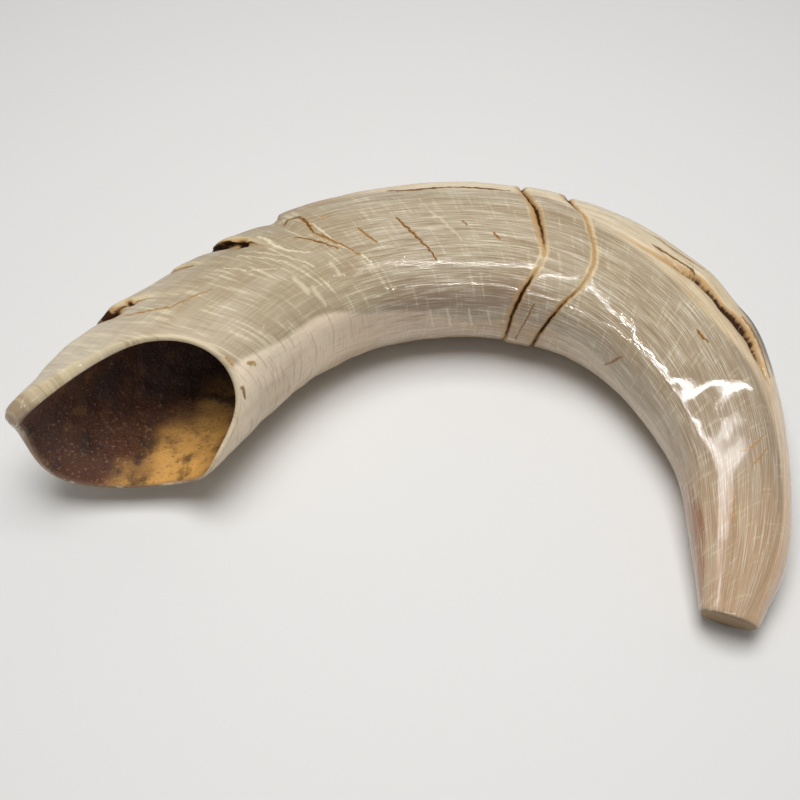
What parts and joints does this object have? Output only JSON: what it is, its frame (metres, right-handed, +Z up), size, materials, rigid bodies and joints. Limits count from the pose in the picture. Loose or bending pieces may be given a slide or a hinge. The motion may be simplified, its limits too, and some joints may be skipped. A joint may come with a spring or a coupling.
{
  "type": "ram horn",
  "caption": "Curved polished ram's horn, hollow with a slanting mouth at its wide end and cut flat across its solid tip, lying on its side.",
  "frame": {"origin": "middle of the horn's bounding box, on the surface that it lies on", "axes": "+X from the mouth's side of the bend to the tip's side, +Y towards the outside of the bend, +Z up"},
  "size_m": [0.2578, 0.1708, 0.0614],
  "materials": {
    "horn": "polished natural horn, grey-beige with cream streaks, brown cracks and a rough dark brown hollow"
  },
  "bodies": {
    "root": {"ram_horn": "horn"}
  },
  "joints": []
}
